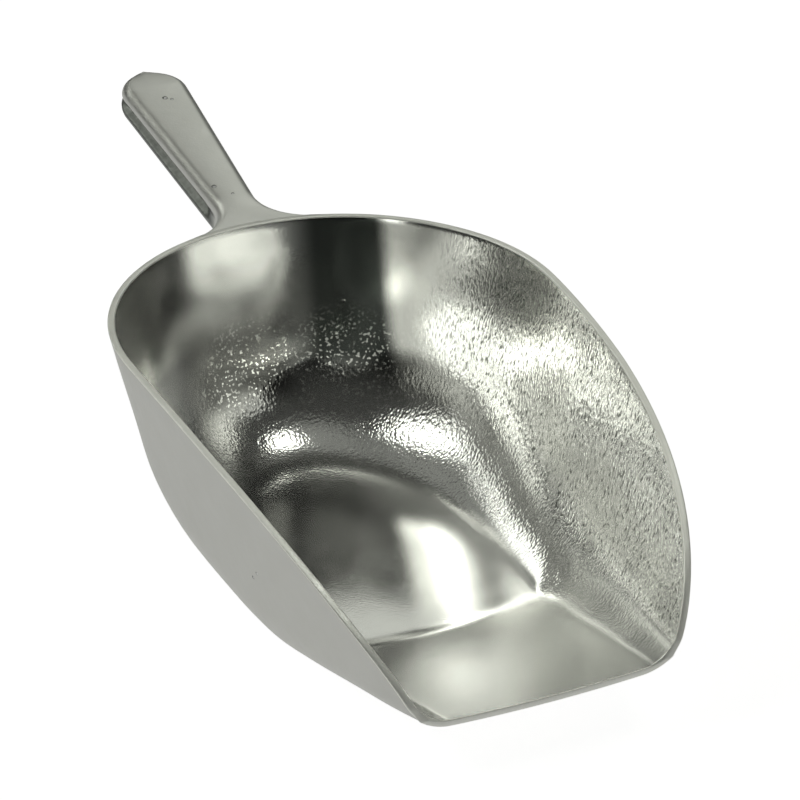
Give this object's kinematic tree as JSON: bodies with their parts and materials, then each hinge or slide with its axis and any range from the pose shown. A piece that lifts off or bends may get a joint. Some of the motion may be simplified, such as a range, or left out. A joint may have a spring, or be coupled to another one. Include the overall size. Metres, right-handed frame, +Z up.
{
  "type": "ice scoop",
  "caption": "Open-fronted cast scoop with a flat floor, a ramped straight lip, high curved walls and a grooved grip level with the rim at the back.",
  "frame": {"origin": "middle of the flat underside, on the surface the scoop stands on", "axes": "+Z up, +Y from the lip towards the grip, X is the mirror direction"},
  "size_m": [0.1716, 0.3636, 0.1082],
  "materials": {
    "bowl": "polished inside, satin outside",
    "handle": "satin"
  },
  "bodies": {
    "root": {"bowl": "bowl", "handle": "handle"}
  },
  "joints": []
}
